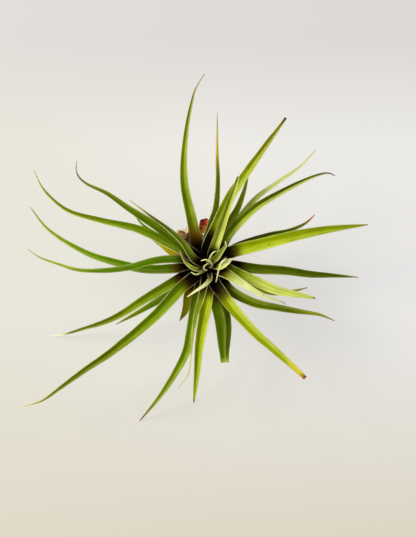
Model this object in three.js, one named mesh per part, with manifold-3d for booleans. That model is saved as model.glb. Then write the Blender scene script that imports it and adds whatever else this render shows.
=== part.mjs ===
// An air plant: a rosette of channelled strap leaves round a short woody stem, picked and lying on a
// surface with its heart facing up. Millimetres, +Z up. The origin is the middle of the flat underside of
// the root pad. Leaf paths are measured from the axis of the crown, which stands to one side of the roots
// because the stem leans.
import * as THREE from "three";
import Module from "manifold-3d";
import { mergeVertices } from "three/addons/utils/BufferGeometryUtils.js";

const wasm = await Module();
wasm.setup();

// Where the crown stands, from the middle of the root pad.
const CROWN = new THREE.Vector3(12, -21, 8);

// Leaf sheaths sit round the stem in ranks. Rank 0 is the lowest and oldest, and each rank is further in
// and higher.
const SHEATH_RADIUS = 11.5;
const RANK_RADIUS = 1.0;
const SHEATH_HEIGHT = 6;
const RANK_HEIGHT = 2.6;
const RISE = { out: 0.9, up: 6 };
const FLARE = { out: 8, up: 8, upPerRank: 0.8 };
const SHEATH_LENGTH = 16;
const SHEATH_NARROWING = 0.6;
const CLASP = { from: 8, full: 16, to: 30 };
const SKEW_FROM = 0.6;

// The blade's thickness at its rib and at its edges, and its cells across and along.
const RIB_THICKNESS = 0.85;
const EDGE_THICKNESS = 0.62;
const CELLS_ACROSS = 4;
const CELLS_ALONG = 16;
const CELL_GROWTH = 1.15;
const TIP_WIDTH = 0.7;

// The stem: a foot that leans out from the roots, and a core that the sheaths start 0.8 mm clear of.
const STEM_SIDES = 18;
const CORE_CLEARANCE = 0.8;
const CORE_TOP = 31;
const FOOT_BOTTOM = 3.3;
const FOOT_SECTIONS = [
  { x: 0.8, y: -1.5, z: FOOT_BOTTOM, radius: 7.4 },
  { x: 3.6, y: -6.5, z: 7, radius: 9.2 },
  { x: 8.4, y: -15, z: 11, radius: 10.6 },
];

// The root pad, its rim from the flat underside up, and the wiry roots that spread from it. They reach
// furthest on the side that the stem leans away from.
const PAD_RIM = [[0, 0], [6.6, 0], [7.6, 0.9], [7.6, 2.2], [6.8, 3], [0, 3]];
const PAD_SIDES = 24;
const ROOTS = { count: 18, thick: 0.7, thin: 0.42, reach: 9.6, extra: 5, side: 150, seed: 11 };
const ROOT_SIDES = 5;
const ROOT_STEPS = 6;

const GREEN = { color: 0x6f8f1c, roughness: 0.5 };
const DARK_GREEN = { color: 0x44661a, roughness: 0.5 };
const LIGHT_GREEN = { color: 0xa2b742, roughness: 0.5 };
const YOUNG_GREEN = { color: 0xc3cc82, roughness: 0.6 };
const OLD_YELLOW = { color: 0xb39a2e, roughness: 0.6 };
const DRY_RUST = { color: 0x8a3a17, roughness: 0.8 };
const DRY_TAN = { color: 0xb08a5c, roughness: 0.85 };
const WOOD = { color: 0x4c3522, roughness: 0.9 };
const ROOT_TAN = { color: 0x9a7f63, roughness: 0.9 };

// Each leaf: its width, the compass angle of its sheath, its rank, and the points that its blade passes
// through. taper is how far out the blade keeps its width, slim how fast it thins, wrap how far its
// channel closes in degrees, roll how far it turns over in degrees at its sheath, middle and tip, cut the
// share of width left at a blunt or broken end, skew how far that end's right corner reaches past its left,
// clasp the extra share of width with which it flares where it leaves the stem, and swell the length over
// which it widens from its sheath.
const LEAVES = [
  {
    name: "leaf_01", look: GREEN, width: 9.6, angle: 119, rank: 3,
    path: [[-13.5, 37.5, 36], [-18, 59, 46], [-18.5, 76, 52], [-16, 101, 58], [-12.8, 117.5, 60],
      [-9.8, 128, 60], [-3.5, 139, 59]],
    taper: 1.35, slim: 1.2, roll: [0, 12, 0], clasp: 0.3,
  },
  {
    name: "leaf_02", look: GREEN, width: 6.2, angle: 97, rank: 1.5,
    path: [[1.4, 31, 24], [5, 43, 29], [6.5, 61, 35], [6, 81, 43], [6, 112, 50]],
    taper: 1.5, slim: 1.3,
  },
  {
    name: "leaf_03", look: GREEN, width: 8.8, angle: 98, rank: 7,
    path: [[5.3, 29, 46], [15.2, 50, 53], [26.4, 66.6, 58], [41.2, 87.4, 63], [55.5, 107, 66]],
    taper: 2.4, cut: 0.19,
  },
  {
    name: "leaf_04", look: LIGHT_GREEN, width: 8.6, angle: 74, rank: 8.1,
    path: [[9, 28, 55], [15, 46, 66], [21, 64, 75]],
    taper: 1.9, wrap: 100, cut: 0.24,
  },
  {
    name: "leaf_05", look: DARK_GREEN, width: 7.8, angle: 66, rank: 4.3,
    path: [[15.8, 33.2, 38], [21, 42.3, 43], [25.4, 54.2, 49], [28.1, 64, 54]],
    taper: 1.9, cut: 0.18,
  },
  {
    name: "leaf_06", look: LIGHT_GREEN, width: 7.0, angle: 57, rank: 3.5,
    path: [[18.8, 29.7, 34], [34.2, 49.3, 44], [50.8, 61.6, 51], [67, 73, 56], [77.5, 84, 60]],
    taper: 1.5, slim: 1.2,
  },
  {
    name: "leaf_07", look: DARK_GREEN, width: 7.7, angle: 53, rank: 5.25,
    path: [[14.4, 22.8, 38], [32.8, 41.6, 48], [53.2, 54.1, 56], [77.7, 65.5, 61], [86.5, 67.3, 60],
      [91.5, 65.5, 57]],
    taper: 1.9, slim: 1.1,
  },
  {
    name: "leaf_08", look: DARK_GREEN, width: 6.0, angle: 37, rank: 2.5,
    path: [[21.5, 15, 24], [45, 22.8, 31], [59, 26, 36], [70.5, 31.2, 41], [77.5, 37.5, 46]],
    taper: 2.2,
  },
  {
    name: "leaf_09", look: LIGHT_GREEN, width: 9.9, angle: 36, rank: 6.2,
    path: [[18, 10.8, 42], [36, 15.3, 50], [67, 22.9, 58], [88.5, 26.8, 60], [115.5, 30, 57]],
    taper: 3.0,
  },
  {
    name: "leaf_10", look: DARK_GREEN, width: 8.4, angle: 2, rank: 3.5, rests: true,
    path: [[34, -2, 32], [57, -3.5, 29], [74.5, -6, 21], [91.5, -7, 9], [113.5, -8.5, -7]],
    taper: 2.1, slim: 1.1,
  },
  {
    name: "leaf_11", look: LIGHT_GREEN, width: 8.6, angle: -8, rank: 5.2,
    path: [[17.5, -3.8, 35], [34, -11.2, 41], [50.5, -18.0, 43], [67.5, -21.5, 42], [78, -23.7, 40]],
    taper: 3.4, cut: 0.16,
  },
  {
    name: "leaf_12", look: OLD_YELLOW, width: 5.4, angle: -22, rank: 2,
    path: [[28, -12, 22], [47, -20, 26], [64.5, -18, 28], [73, -16, 29]],
    taper: 2.2,
  },
  {
    name: "leaf_13", look: LIGHT_GREEN, width: 10.0, angle: -23, rank: 7.3,
    path: [[25.2, -13.2, 50], [33.6, -18.4, 53], [44.2, -23.4, 54], [53, -26.2, 53], [56, -28, 51]],
    taper: 1.3, slim: 1.3, wrap: 60,
  },
  {
    name: "leaf_14", look: DARK_GREEN, width: 8.4, angle: -48, rank: 4.1,
    path: [[16, -18, 34], [33.3, -27, 38], [50.5, -30.6, 39], [67.5, -33.6, 38], [82, -36, 35],
      [93, -40.5, 31]],
    taper: 2.0, slim: 1.1,
  },
  {
    name: "leaf_15", look: LIGHT_GREEN, width: 10.4, angle: -72, rank: 6.5,
    path: [[9, -19.5, 42], [17.2, -30.6, 46], [33.6, -48.6, 49], [48.8, -62.2, 49.5], [62.2, -74.2, 48],
      [70.5, -82, 45.5]],
    taper: 1.3, cut: 0.33,
  },
  {
    name: "leaf_16", look: DARK_GREEN, width: 17, angle: -86, rank: 3, swell: 56,
    path: [[6.4, -27, 26], [9.7, -37, 28], [10.8, -45, 30], [11.1, -54, 30], [11.2, -61, 29],
      [11.8, -71.5, 28]],
    taper: 3.2, slim: 1.6, cut: 0.38, wrap: 95,
  },
  {
    name: "leaf_17", look: GREEN, width: 10.0, angle: -92, rank: 4.95,
    path: [[-2.0, -28, 38], [-6.0, -50.5, 42], [-7.5, -62, 42.5], [-9.0, -80, 41], [-11.2, -100.5, 36]],
    taper: 2.0, cut: 0.14, wrap: 85,
  },
  {
    name: "leaf_18", look: LIGHT_GREEN, width: 8.8, angle: -106, rank: 8,
    path: [[-4.8, -19.5, 46], [-6.6, -26.5, 50.5], [-9.2, -35, 54], [-11.3, -46.5, 57], [-12.8, -62, 58],
      [-15.2, -78.5, 57], [-22.5, -89, 53]],
    taper: 1.5, slim: 2.8, wrap: 110,
  },
  {
    name: "leaf_19", look: GREEN, width: 7.8, angle: -116, rank: 4, rests: true,
    path: [[-9.5, -24, 31], [-13.4, -47, 34], [-17.1, -64, 30], [-26.8, -82.6, 21], [-38.6, -100.2, 8],
      [-52.5, -117.5, -7]],
    taper: 2.2, slim: 1.1,
  },
  {
    name: "leaf_20", look: DARK_GREEN, width: 7.4, angle: -127, rank: 0.2,
    path: [[-15.4, -22, 17], [-16.4, -29, 19], [-17.6, -34, 19], [-19.2, -38.6, 19]],
    taper: 5.0, cut: 0.5, skew: 7,
  },
  {
    name: "leaf_21", look: GREEN, width: 9.8, angle: -143, rank: 6,
    path: [[-20.5, -16, 39], [-39.5, -36.4, 42.5], [-70.5, -62.2, 42], [-91.5, -76.6, 37], [-109.6, -89.8, 30],
      [-124, -100, 23], [-138, -104.8, 18]],
    taper: 1.6, slim: 1.1,
  },
  {
    name: "leaf_22", look: GREEN, width: 9.0, angle: -160, rank: 2.2, rests: true,
    path: [[-23.5, -10.4, 23], [-49.5, -25.8, 25], [-63.5, -34.8, 21], [-78, -41.8, 14], [-93, -46.6, 5],
      [-111, -52, -3], [-120, -53.2, -7]],
    taper: 1.6, slim: 1.3,
  },
  {
    name: "leaf_23", look: DARK_GREEN, width: 6.4, angle: -149, rank: 1.2,
    path: [[-32.5, -22.4, 17], [-50, -32.9, 14], [-70, -43.9, 8]],
    taper: 2.4,
  },
  {
    name: "leaf_24", look: GREEN, width: 7.4, angle: 165, rank: 4.1,
    path: [[-21.5, 5.2, 32], [-40, 4, 37], [-59, -1.0, 38], [-76, -3.2, 37], [-97, -2.8, 33],
      [-110.5, 1.2, 30], [-126, 6.7, 27], [-134.5, 12.5, 26]],
    taper: 1.3, slim: 1.2,
  },
  {
    name: "leaf_25", look: GREEN, width: 8.0, angle: 178, rank: 3.1,
    path: [[-23, -1.4, 27], [-49, -2.0, 30], [-70.5, 3.0, 30], [-90.5, 9.6, 28], [-119.5, 27.4, 24.5],
      [-133, 44, 24]],
    taper: 1.6, slim: 1.1,
  },
  {
    name: "leaf_26", look: GREEN, width: 9.6, angle: 150, rank: 5.0,
    path: [[-17, 10.4, 34.5], [-31.5, 17.6, 39], [-52, 27, 43.5], [-79.5, 33.4, 47], [-104, 41, 49],
      [-121, 56.2, 50], [-128, 70, 49]],
    taper: 1.1, slim: 1.1,
  },
  {
    name: "leaf_27", look: GREEN, width: 9.0, angle: 142, rank: 6,
    path: [[-28.5, 22, 42.5], [-43, 32, 47.5], [-58.5, 42, 51.5], [-74.5, 53, 55], [-89.5, 60.2, 57],
      [-94.8, 65.2, 58], [-96.4, 70, 58], [-96, 76, 58]],
    taper: 1.5, slim: 1.3,
  },
  {
    name: "leaf_28", look: GREEN, width: 7.8, angle: 155, rank: 7.7,
    path: [[-19.5, 17.6, 46], [-30.4, 27.5, 50], [-43.6, 37.1, 53], [-58, 48, 55]],
    taper: 1.1, slim: 1.3,
  },
  {
    name: "leaf_29", look: GREEN, width: 5.6, angle: 147, rank: 1,
    path: [[-33, 19.5, 19], [-49, 30.5, 23], [-56.5, 39.5, 25]],
    taper: 2.0, slim: 1.2,
  },
  {
    name: "leaf_30", look: OLD_YELLOW, width: 8.0, angle: 161, rank: 0,
    path: [[-25.5, 9.5, 15], [-35.5, 16.2, 16], [-42.5, 20.2, 15]],
    taper: 2.6, cut: 0.2,
  },
];

// The young leaves of the heart. Their whole paths are given, from the top of the stem's core.
const YOUNG_LEAVES = [
  {
    name: "young_leaf_1", width: 5.8, taper: 2.6, wrap: 110,
    path: [[0.7, 2.1, 31.2], [2.5, 3.6, 37], [5.8, 6.4, 43], [9.2, 10.8, 48], [12.2, 15.2, 51],
      [11.8, 18.2, 52.5]],
  },
  {
    name: "young_leaf_2", width: 6.8, taper: 5.0, wrap: 100,
    path: [[2.6, -0.2, 30.2], [4.8, -0.2, 36], [8.6, 0.3, 42.5], [12.5, 2.4, 45.5], [17.2, 5.6, 46.5]],
  },
  {
    name: "young_leaf_3", width: 5.0, taper: 1.5, wrap: 100,
    path: [[0.2, -2.6, 30.6], [0.4, -5.0, 37.5], [0.6, -9.8, 46], [-3.4, -14, 51.5], [-9.8, -18.3, 54],
      [-16, -22.6, 53]],
  },
  {
    name: "young_leaf_4", width: 4.4, taper: 2.0, wrap: 90,
    path: [[-2.7, -0.2, 30.8], [-4.6, -1.2, 36], [-8, -2.6, 41], [-13, -0.8, 44.5], [-17.6, 3.4, 46],
      [-21.5, 11, 46]],
  },
  {
    name: "young_leaf_5", width: 1.9, taper: 2.4, wrap: 80,
    path: [[-1.3, 1.6, 31], [-1.6, 3.0, 37], [0.2, 4.8, 43], [1.3, 7.6, 46], [3.4, 10.1, 47.5],
      [5.6, 11, 47.6]],
  },
  {
    name: "young_leaf_6", width: 1.9, taper: 2.0, wrap: 70,
    path: [[1.6, -0.3, 31.4], [3.8, 0.2, 38], [6.6, 2.4, 45.3], [9.6, 5.0, 48.6], [12.2, 6.2, 50.2],
      [12.8, 5.8, 51.2], [11.4, 4.6, 52], [8.6, 1.8, 52.6], [7.2, -2.4, 52.2], [6.2, -6.6, 51],
      [5, -12, 48]],
  },
  {
    name: "young_leaf_7", width: 2.2, taper: 2.2, wrap: 80,
    path: [[-1.0, -1.3, 31.6], [-2.8, -3.3, 37.4], [-6.2, -5.0, 42.8], [-9.5, -6.2, 45.2],
      [-13.2, -4.6, 45.8]],
  },
  {
    name: "young_leaf_8", width: 1.7, taper: 2.2, wrap: 70,
    path: [[0.1, -0.9, 32], [1.5, -0.9, 38], [2.2, 0.6, 43], [0.8, 3.2, 45.5], [-2.4, 4.6, 46],
      [-6, 3.8, 44.5]],
  },
  {
    name: "young_leaf_9", width: 1.5, taper: 2.2, wrap: 70,
    path: [[-0.4, 0.5, 32], [0.0, 1.6, 37], [0.2, 2.3, 41], [-1.8, 1.2, 43], [-3.8, -0.6, 43.6],
      [-3.6, -2.2, 43.2], [-1.4, -3.4, 42.4]],
  },
];

// Old leaf bases that have dried and broken off round the foot of the stem. hug is the radius that they
// lie round.
const DRY_SHEATHS = [
  {
    name: "dry_sheath_1", look: DRY_RUST, width: 11.6, hug: 9.1, cut: 0.76, taper: 3, wrap: 110,
    path: [[-4.2, 25.1, -3], [-3.3, 28.7, 2], [-2.9, 32.5, 5], [-3.1, 35.3, 6]],
  },
  {
    name: "dry_sheath_2", look: DRY_TAN, width: 7.6, hug: 9.1, cut: 0.4, taper: 2, wrap: 100,
    path: [[-12.0, 25.8, -3], [-13.0, 29.2, 1], [-15, 32.5, 3]],
  },
  {
    name: "dry_sheath_3", look: DRY_TAN, width: 8.6, hug: 9.1, cut: 0.5, taper: 2, wrap: 100,
    path: [[-17.4, 21.7, -3], [-20.7, 23.8, 0], [-24.5, 25.5, 1.5]],
  },
  {
    name: "dry_sheath_4", look: DRY_RUST, width: 8.6, hug: 9.1, cut: 0.5, taper: 2, wrap: 100,
    path: [[-18.6, 14.2, -3], [-22.5, 12.5, 0], [-27, 11, 1.5]],
  },
  {
    name: "dry_sheath_5", look: DRY_TAN, width: 8.6, hug: 9.1, cut: 0.5, taper: 2, wrap: 100,
    path: [[-0.8, 19.6, -3], [3.3, 20.6, 1], [7.7, 22, 3]],
  },
];

const toPoint = ([x, y, z]) => new THREE.Vector3(x, y, z);

// A place at a radius and compass angle round the crown's axis.
function ringPoint(radius, angle, z) {
  const turn = THREE.MathUtils.degToRad(angle);
  return new THREE.Vector3(radius * Math.cos(turn), radius * Math.sin(turn), z);
}

// The three points by which a ranked leaf leaves the stem: its foot, its steep sheath and its flare.
function sheathPoints({ rank, angle }) {
  const radius = SHEATH_RADIUS - RANK_RADIUS * rank;
  const height = SHEATH_HEIGHT + RANK_HEIGHT * rank;
  return [
    ringPoint(radius, angle, height),
    ringPoint(radius + RISE.out, angle, height + RISE.up),
    ringPoint(radius + FLARE.out, angle, height + FLARE.up + FLARE.upPerRank * rank),
  ];
}

function centreline(leaf) {
  const sheath = leaf.rank === undefined ? [] : sheathPoints(leaf);
  const points = [...sheath, ...leaf.path.map(toPoint)];
  return new THREE.CatmullRomCurve3(points, false, "centripetal");
}

// How much of its clasp a leaf has at a distance from its foot.
function claspAt(distance) {
  const rise = THREE.MathUtils.smoothstep(distance, CLASP.from, CLASP.full);
  return rise * (1 - THREE.MathUtils.smoothstep(distance, CLASP.full, CLASP.to));
}

// Width and channel along the leaf, s running from 0 at the foot to 1 at the tip.
function widthAt(leaf, s, length) {
  const growth = THREE.MathUtils.smoothstep(s * length, 0, leaf.swell ?? SHEATH_LENGTH);
  const base = THREE.MathUtils.lerp(SHEATH_NARROWING, 1, growth);
  const flare = 1 + (leaf.clasp ?? 0) * claspAt(s * length);
  const end = Math.max(leaf.width * (leaf.cut ?? 0), TIP_WIDTH);
  const fall = Math.pow(1 - Math.pow(s, leaf.taper), leaf.slim ?? 1);
  return THREE.MathUtils.lerp(end, leaf.width * base * flare, fall);
}

// The radius that the foot of a leaf lies round: the stem's, at its rank or at its first point.
function hugRadius(leaf) {
  if (leaf.hug) return leaf.hug;
  if (leaf.rank === undefined) return Math.hypot(leaf.path[0][0], leaf.path[0][1]);
  return SHEATH_RADIUS - RANK_RADIUS * leaf.rank;
}

function wrapAt(leaf, s, length) {
  const blade = THREE.MathUtils.degToRad(leaf.wrap ?? 74);
  const base = (leaf.width * SHEATH_NARROWING) / hugRadius(leaf);
  return THREE.MathUtils.lerp(base, blade, THREE.MathUtils.smoothstep(s * length, 0, SHEATH_LENGTH));
}

function rollAt(leaf, s) {
  const [base, middle, tip] = leaf.roll ?? [0, 0, 0];
  const inner = THREE.MathUtils.lerp(base, middle, 2 * s);
  const outer = THREE.MathUtils.lerp(middle, tip, 2 * s - 1);
  return THREE.MathUtils.degToRad(s < 0.5 ? inner : outer);
}

// One section of the blade: points across its upper face, then across its lower face.
function sectionPoints(leaf, curve, s, length) {
  const centre = curve.getPointAt(s);
  const along = curve.getTangentAt(s);
  const side = new THREE.Vector3(0, 0, 1).cross(along).normalize().applyAxisAngle(along, rollAt(leaf, s));
  const up = along.clone().cross(side);
  const wrap = wrapAt(leaf, s, length);
  const radius = widthAt(leaf, s, length) / wrap;
  const skew = (leaf.skew ?? 0) * THREE.MathUtils.smoothstep(s, SKEW_FROM, 1);
  const faces = { upper: [], lower: [] };
  for (let i = 0; i <= CELLS_ACROSS; i += 1) {
    const across = (2 * i) / CELLS_ACROSS - 1;
    const turn = (wrap / 2) * across;
    const half = THREE.MathUtils.lerp(RIB_THICKNESS, EDGE_THICKNESS, across * across) / 2;
    for (const [face, shift] of [["upper", -half], ["lower", half]]) {
      const point = centre.clone().addScaledVector(along, (-skew / 2) * across);
      point.addScaledVector(side, (radius + shift) * Math.sin(turn));
      point.addScaledVector(up, radius - (radius + shift) * Math.cos(turn));
      faces[face].push(point);
    }
  }
  return [...faces.upper, ...faces.lower];
}

// Closes rings of section points into one skin, the upper and lower faces split along the same diagonals.
function skinTriangles(rings, perFace) {
  const size = 2 * perFace;
  const triangles = [];
  const quad = (a, b, c, d) => triangles.push(a, b, c, a, c, d);
  for (let ring = 0; ring + 1 < rings; ring += 1) {
    const here = ring * size;
    const next = here + size;
    for (let i = 0; i + 1 < perFace; i += 1) {
      const low = perFace + i;
      quad(here + i, next + i, next + i + 1, here + i + 1);
      triangles.push(here + low, next + low + 1, next + low, here + low, here + low + 1, next + low + 1);
    }
    quad(here, here + perFace, next + perFace, next);
    quad(next + perFace - 1, next + size - 1, here + size - 1, here + perFace - 1);
  }
  const last = (rings - 1) * size;
  for (let i = 0; i + 1 < perFace; i += 1) {
    quad(i, i + 1, perFace + i + 1, perFace + i);
    quad(last + i, last + perFace + i, last + perFace + i + 1, last + i + 1);
  }
  return triangles;
}

// A leaf that lies on the surface bends until its lowest point touches it.
function settle(points, shares) {
  for (let turn = 0; turn < 4; turn += 1) {
    const lowest = Math.min(...points.map((point) => point.z));
    points.forEach((point, i) => {
      point.z -= lowest * shares[i] ** 2;
    });
  }
}

function bladeGeometry(leaf, cells = CELLS_ALONG) {
  const curve = centreline(leaf);
  const length = curve.getLength();
  const points = [];
  const shares = [];
  for (let ring = 0; ring <= cells; ring += 1) {
    const s = Math.pow(ring / cells, CELL_GROWTH);
    for (const point of sectionPoints(leaf, curve, s, length)) {
      points.push(point.add(CROWN));
      shares.push(s);
    }
  }
  if (leaf.rests) settle(points, shares);
  return indexedGeometry(points, skinTriangles(cells + 1, CELLS_ACROSS + 1));
}

function indexedGeometry(points, triangles) {
  const geometry = new THREE.BufferGeometry().setFromPoints(points);
  geometry.setIndex(triangles);
  geometry.computeVertexNormals();
  return geometry;
}

// Adds the triangles that join round rings one to the next and close both ends.
function closeRings(triangles, rings, sides) {
  for (let ring = 0; ring + 1 < rings; ring += 1) {
    for (let i = 0; i < sides; i += 1) {
      const a = ring * sides + i;
      const b = ring * sides + ((i + 1) % sides);
      triangles.push(a, b, b + sides, a, b + sides, a + sides);
    }
  }
  const top = (rings - 1) * sides;
  for (let i = 1; i + 1 < sides; i += 1) {
    triangles.push(0, i + 1, i);
    triangles.push(top, top + i, top + i + 1);
  }
}

// A solid through level rings, each a circle of its own centre and radius.
function stackedGeometry(sections, sides) {
  const points = [];
  const triangles = [];
  for (const { x, y, z, radius } of sections) {
    for (let i = 0; i < sides; i += 1) {
      const turn = (2 * Math.PI * i) / sides;
      points.push(new THREE.Vector3(x + radius * Math.cos(turn), y + radius * Math.sin(turn), z));
    }
  }
  closeRings(triangles, sections.length, sides);
  return indexedGeometry(points, triangles);
}

function coreSection(z) {
  const radius = SHEATH_RADIUS - ((z - SHEATH_HEIGHT) * RANK_RADIUS) / RANK_HEIGHT - CORE_CLEARANCE;
  return { x: CROWN.x, y: CROWN.y, z: CROWN.z + z, radius };
}

function stemGeometry() {
  const core = [SHEATH_HEIGHT, 12, 18, 24, CORE_TOP].map(coreSection);
  return stackedGeometry([...FOOT_SECTIONS, ...core], STEM_SIDES);
}

// A seeded run of numbers between 0 and 1.
function seededRun(seed) {
  let state = seed;
  return () => {
    state = (state * 48271) % 2147483647;
    return state / 2147483647;
  };
}

// One root: a tapering wavy tube that starts inside the pad and lies along the surface.
function rootGeometry(turn, random) {
  const { thick, thin, reach, extra, side } = ROOTS;
  const lean = Math.max(0, Math.cos(turn - THREE.MathUtils.degToRad(side)));
  const far = reach + extra * lean - 2.4 * random();
  const bend = 0.5 * (random() - 0.5);
  const lift = 0.9 * random();
  const sections = [];
  for (let i = 0; i <= ROOT_STEPS; i += 1) {
    const share = i / ROOT_STEPS;
    const out = THREE.MathUtils.lerp(4.6, far, share);
    const angle = turn + bend * share + 0.09 * (random() - 0.5);
    const radius = THREE.MathUtils.lerp(thick, thin, share);
    const z = radius + 0.05 + lift * Math.sin(Math.PI * share) + 0.9 * (1 - share);
    sections.push({ centre: new THREE.Vector3(out * Math.cos(angle), out * Math.sin(angle), z), radius });
  }
  return tubeGeometry(sections, ROOT_SIDES);
}

// A closed tube through upright rings that face the way the tube runs.
function tubeGeometry(sections, sides) {
  const points = [];
  const triangles = [];
  sections.forEach(({ centre, radius }, i) => {
    const before = sections[Math.max(i - 1, 0)].centre;
    const after = sections[Math.min(i + 1, sections.length - 1)].centre;
    const along = after.clone().sub(before).normalize();
    const right = new THREE.Vector3(0, 0, 1).cross(along).normalize();
    const up = along.clone().cross(right);
    for (let k = 0; k < sides; k += 1) {
      const turn = (2 * Math.PI * k) / sides;
      const point = centre.clone().addScaledVector(right, radius * Math.cos(turn));
      points.push(point.addScaledVector(up, radius * Math.sin(turn)));
    }
  });
  closeRings(triangles, sections.length, sides);
  return indexedGeometry(points, triangles);
}

function toSolid(geometry) {
  geometry.deleteAttribute("normal");
  geometry.deleteAttribute("uv");
  const merged = mergeVertices(geometry, 1e-4);
  const vertProperties = new Float32Array(merged.attributes.position.array);
  const triVerts = new Uint32Array(merged.index.array);
  return new wasm.Manifold(new wasm.Mesh({ numProp: 3, vertProperties, triVerts }));
}

function rootsGeometry() {
  const random = seededRun(ROOTS.seed);
  const rim = PAD_RIM.map(([x, y]) => new THREE.Vector2(x, y));
  const pad = new THREE.LatheGeometry(rim, PAD_SIDES).rotateX(Math.PI / 2);
  let solid = toSolid(pad);
  for (let i = 0; i < ROOTS.count; i += 1) {
    const turn = (2 * Math.PI * (i + 0.5 * random())) / ROOTS.count;
    solid = solid.add(toSolid(rootGeometry(turn, random)));
  }
  const mesh = solid.getMesh();
  const points = [];
  for (let i = 0; i < mesh.vertProperties.length; i += mesh.numProp) {
    points.push(new THREE.Vector3(...mesh.vertProperties.slice(i, i + 3)));
  }
  return indexedGeometry(points, Array.from(mesh.triVerts));
}

const group = new THREE.Group();

function addMesh(name, geometry, look) {
  const mesh = new THREE.Mesh(geometry, new THREE.MeshStandardMaterial({ metalness: 0, ...look }));
  mesh.name = name;
  group.add(mesh);
}

addMesh("roots", rootsGeometry(), ROOT_TAN);
addMesh("stem", stemGeometry(), WOOD);
LEAVES.forEach((leaf) => addMesh(leaf.name, bladeGeometry(leaf), leaf.look));
YOUNG_LEAVES.forEach((leaf) => addMesh(leaf.name, bladeGeometry(leaf, 12), YOUNG_GREEN));
DRY_SHEATHS.forEach((leaf) => addMesh(leaf.name, bladeGeometry(leaf, 6), leaf.look));

export default group;
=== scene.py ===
# An air plant: a rosette of channelled strap leaves on a short leaning stem, lying on a pale surface.
# Lengths are millimetres and angles degrees, unless a comment says otherwise.
import math
import random

import bmesh
import bpy
from mathutils import Matrix, Vector, noise


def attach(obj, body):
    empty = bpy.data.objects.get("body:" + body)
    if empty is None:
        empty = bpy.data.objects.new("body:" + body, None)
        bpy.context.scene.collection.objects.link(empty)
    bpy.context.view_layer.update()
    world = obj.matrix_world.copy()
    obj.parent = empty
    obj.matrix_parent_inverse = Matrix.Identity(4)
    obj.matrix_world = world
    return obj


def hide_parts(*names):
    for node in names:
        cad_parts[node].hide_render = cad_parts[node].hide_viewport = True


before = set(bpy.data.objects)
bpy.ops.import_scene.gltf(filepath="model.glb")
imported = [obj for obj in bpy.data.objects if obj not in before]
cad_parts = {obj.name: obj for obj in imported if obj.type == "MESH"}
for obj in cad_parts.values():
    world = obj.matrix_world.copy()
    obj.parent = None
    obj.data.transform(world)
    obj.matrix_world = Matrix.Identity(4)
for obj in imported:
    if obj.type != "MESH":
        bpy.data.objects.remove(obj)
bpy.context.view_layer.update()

MM = 0.001
CROWN = Vector((12, -21, 8))

# Leaf sheaths round the stem, in ranks from the lowest and oldest.
SHEATH_RADIUS = 11.5
RANK_RADIUS = 1.0
SHEATH_HEIGHT = 6
RANK_HEIGHT = 2.6
RISE_OUT, RISE_UP = 0.9, 6
FLARE_OUT, FLARE_UP, FLARE_PER_RANK = 8, 8, 0.8
SHEATH_LENGTH = 16
SHEATH_NARROWING = 0.6
CLASP_FROM, CLASP_FULL, CLASP_TO = 8, 16, 30

# The blade of every leaf. Names that end in FROM or FULL are shares of its length. PLAIN_WRAP is how far a
# channel bends round unless its leaf says otherwise. From MEMBRANE_REACH inwards the blade is as thick as
# the solids, at the very margin twice HALF_MEMBRANE, and at the tip it thins further, to a share
# TIP_THINNING. RIPPLE is the height of the waves along the margins and RIPPLE_PITCH how fast they follow
# each other, and RAGGED is how deep the end of a dry sheath is torn.
PLAIN_WRAP = 74
SKEW_FROM = 0.6
RIB_THICKNESS = 0.85
EDGE_THICKNESS = 0.62
TIP_WIDTH = 0.7
HALF_MEMBRANE = 0.13
MEMBRANE_REACH = 1.1
TIP_THIN_FROM, TIP_THINNING = 0.85, 0.45
POINT_FROM = 0.9
RIPPLE, RIPPLE_PITCH = 0.16, 0.16
RIPPLE_FROM, RIPPLE_FULL = 0.08, 0.3
RAGGED, RAGGED_FROM = 1.5, 0.7
COARSE_TEARS, FINE_TEARS = 3.1, 9.7
SETTLE_ROUNDS = 4

# Places in the noise field: a blade's own, from its name, and the rows for its margins and tears.
SEED_STEP = 1.37
LEFT_ROW, RIGHT_ROW = 1.7, 9.1
COARSE_ROW, FINE_ROW = 0.4, 2.4

# How finely a blade is drawn: its columns lie closer together towards the two margins, its rings towards
# the foot.
COLUMNS = [-1, -0.95, -0.88, -0.78, -0.6, -0.4, -0.2, 0, 0.2, 0.4, 0.6, 0.78, 0.88, 0.95, 1]
LEAF_RINGS = 72
YOUNG_RINGS = 48
HUSK_RINGS = 26
RING_CROWDING = 1.08

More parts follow.
